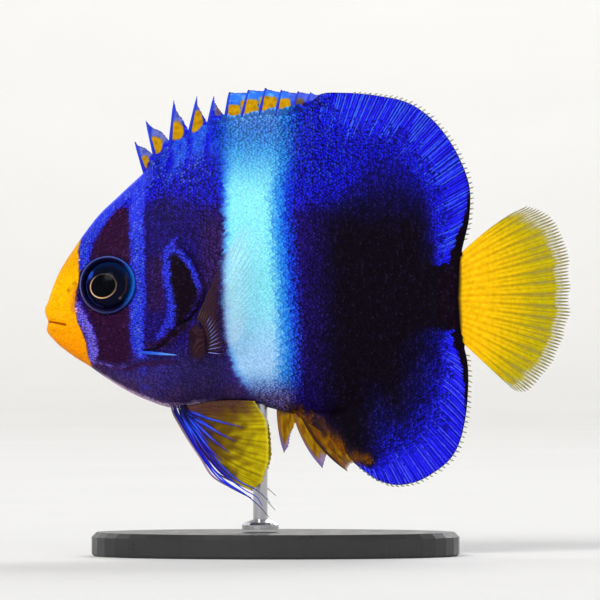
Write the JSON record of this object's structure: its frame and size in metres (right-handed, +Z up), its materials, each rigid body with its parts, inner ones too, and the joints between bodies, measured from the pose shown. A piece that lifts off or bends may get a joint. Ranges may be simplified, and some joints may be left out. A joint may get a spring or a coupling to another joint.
{
  "type": "west african angelfish",
  "caption": "Life-size still model of a young angelfish with a deep flat body, spiny and soft fins, a fan tail and gill covers, held above a plain oval stand.",
  "frame": {"origin": "on the surface that the stand rests on, under the middle of the model's box", "axes": "+Z up, +X towards the tail, so that the head points to -X and the left side faces -Y"},
  "size_m": [0.0658, 0.028, 0.0585],
  "materials": {
    "angelfish_blue": "satin scaly skin, deep blue",
    "angelfish_dark": "satin scaly skin, dark purple",
    "angelfish_yellow": "satin skin, yellow",
    "eye_black": "wet gloss",
    "stand_black": "satin",
    "rod_steel": "satin"
  },
  "bodies": {
    "root": {"head": "angelfish_dark", "torso": "angelfish_blue", "tail_base": "angelfish_dark", "gill_cover_left": "angelfish_dark", "gill_cover_right": "angelfish_dark", "eye_left": "eye_black", "eye_right": "eye_black", "dorsal_fin_front": "angelfish_blue", "dorsal_fin_rear": "angelfish_blue", "anal_fin_front": "angelfish_yellow", "anal_fin_rear": "angelfish_blue", "tail_fin": "angelfish_yellow", "pectoral_fin_left": "angelfish_blue", "pectoral_fin_right": "angelfish_blue", "pelvic_fin_left": "angelfish_blue", "pelvic_fin_right": "angelfish_blue", "stand_base": "stand_black", "stand_rod": "rod_steel"}
  },
  "joints": []
}
